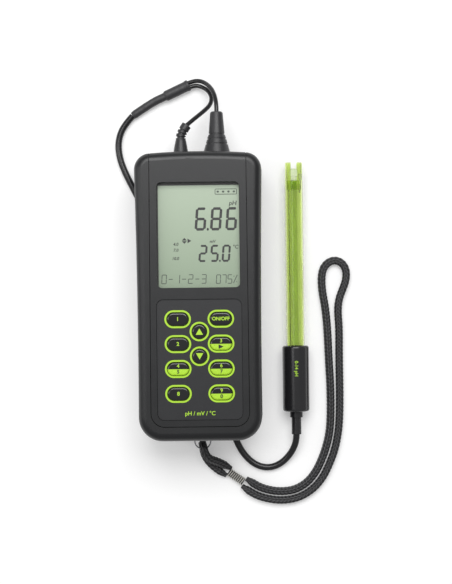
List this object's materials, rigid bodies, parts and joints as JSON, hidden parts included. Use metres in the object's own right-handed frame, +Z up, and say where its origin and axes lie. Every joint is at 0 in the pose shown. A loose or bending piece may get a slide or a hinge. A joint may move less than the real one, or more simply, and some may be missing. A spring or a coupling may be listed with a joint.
{
  "type": "ph and redox meter",
  "caption": "Handheld pH and redox meter with display, keypad, battery, two plugged leads, a cable to its electrode and a braided wrist strap.",
  "frame": {"origin": "centre of the underside of the meter and electrode together, on the surface that they lie on", "axes": "+X from the meter to the electrode, +Y to the connector end, +Z up out of the display"},
  "size_m": [0.1593, 0.2905, 0.0505],
  "materials": {
    "case_black": "fine satin texture, moulded",
    "panel_black": "plain moulded",
    "keypad_black": "satin printed panel",
    "key_gloss": "glossy domed caps",
    "lime_print": "lime satin",
    "mat_rubber": "silicone",
    "seal_rubber": "plain rubber",
    "boot_rubber": "satin rubber",
    "cable_black": "smooth jacket",
    "sleeve_black": "shrunk sleeve",
    "window_clear": "clear pane",
    "lcd_grey_green": "grey-green display",
    "board_green": "lacquered board",
    "chip_black": "moulded",
    "screw_steel": "zinc plated",
    "bright_metal": "nickel plated",
    "battery_wrap": "printed metal jacket",
    "handle_black": "polished",
    "lime_clear": "clear lime plastic",
    "stem_glass": "clear glass",
    "strap_braid": "round braid"
  },
  "bodies": {
    "meter": {"battery": "battery_wrap", "battery_snap": "seal_rubber", "bnc_lead": "cable_black", "bnc_plug": "bright_metal", "bnc_socket": "bright_metal", "board_chips": "chip_black", "board_screws": "screw_steel", "buzzer": "chip_black", "cable_tie": "sleeve_black", "case_gasket": "seal_rubber", "case_screws": "screw_steel", "display_window": "window_clear", "end_panel": "panel_black", "front_bezel": "case_black", "front_shell": "case_black", "key_rings": "lime_print", "keypad_mat": "mat_rubber", "keypad_panel": "keypad_black", "lcd_frame": "panel_black", "lcd_panel": "lcd_grey_green", "lead_splice": "sleeve_black", "main_board": "board_green", "phono_boot": "boot_rubber", "phono_lead": "cable_black", "phono_plug": "bright_metal", "phono_socket": "bright_metal", "probe_cable_coil": "cable_black", "probe_cable_lower": "cable_black", "probe_cable_upper": "cable_black", "probe_gland": "boot_rubber", "probe_glass": "stem_glass", "probe_handle": "handle_black", "probe_stoppers": "lime_clear", "probe_tube": "lime_clear", "rear_feet": "seal_rubber", "rear_shell": "case_black", "redox_pin": "bright_metal", "reference_wire": "bright_metal", "socket_nuts": "bright_metal", "strap_binding": "bright_metal", "strap_eye": "strap_braid", "strap_loop": "strap_braid", "strap_pin": "screw_steel", "strap_ring": "bright_metal", "switch_domes": "bright_metal", "window_gasket": "seal_rubber", "zebra_strip": "seal_rubber"},
    "key_escape": {"key_escape": "key_gloss"},
    "key_power": {"key_power": "key_gloss"},
    "key_recall": {"key_recall": "key_gloss"},
    "key_range": {"key_range": "key_gloss"},
    "key_clear": {"key_clear": "key_gloss"},
    "key_edit": {"key_edit": "key_gloss"},
    "key_setup": {"key_setup": "key_gloss"},
    "key_accept": {"key_accept": "key_gloss"},
    "key_up": {"key_up": "key_gloss"},
    "key_down": {"key_down": "key_gloss"},
    "battery_door": {"battery_door": "case_black"},
    "bnc_coupling": {"bnc_coupling_ring": "bright_metal", "bnc_boot": "boot_rubber"}
  },
  "joints": [
    {"name": "key_escape_press", "type": "slide", "parent": "meter", "child": "key_escape", "axis": [0, 0, -1], "range_m": [0, 0.0008], "stiffness_N_per_m": 400},
    {"name": "key_power_press", "type": "slide", "parent": "meter", "child": "key_power", "axis": [0, 0, -1], "range_m": [0, 0.0008], "stiffness_N_per_m": 400},
    {"name": "key_recall_press", "type": "slide", "parent": "meter", "child": "key_recall", "axis": [0, 0, -1], "range_m": [0, 0.0008], "stiffness_N_per_m": 400},
    {"name": "key_range_press", "type": "slide", "parent": "meter", "child": "key_range", "axis": [0, 0, -1], "range_m": [0, 0.0008], "stiffness_N_per_m": 400},
    {"name": "key_clear_press", "type": "slide", "parent": "meter", "child": "key_clear", "axis": [0, 0, -1], "range_m": [0, 0.0008], "stiffness_N_per_m": 400},
    {"name": "key_edit_press", "type": "slide", "parent": "meter", "child": "key_edit", "axis": [0, 0, -1], "range_m": [0, 0.0008], "stiffness_N_per_m": 400},
    {"name": "key_setup_press", "type": "slide", "parent": "meter", "child": "key_setup", "axis": [0, 0, -1], "range_m": [0, 0.0008], "stiffness_N_per_m": 400},
    {"name": "key_accept_press", "type": "slide", "parent": "meter", "child": "key_accept", "axis": [0, 0, -1], "range_m": [0, 0.0008], "stiffness_N_per_m": 400},
    {"name": "key_up_press", "type": "slide", "parent": "meter", "child": "key_up", "axis": [0, 0, -1], "range_m": [0, 0.0008], "stiffness_N_per_m": 400},
    {"name": "key_down_press", "type": "slide", "parent": "meter", "child": "key_down", "axis": [0, 0, -1], "range_m": [0, 0.0008], "stiffness_N_per_m": 400},
    {"name": "battery_door_slide", "type": "slide", "parent": "meter", "child": "battery_door", "axis": [0, 1, 0], "range_m": [0, 0.004]},
    {"name": "bnc_coupling_turn", "type": "hinge", "parent": "meter", "child": "bnc_coupling", "pos_m": [-0.00265, 0.095, 0.025], "axis": [0, 1, 0], "range_deg": [-90, 0]}
  ]
}
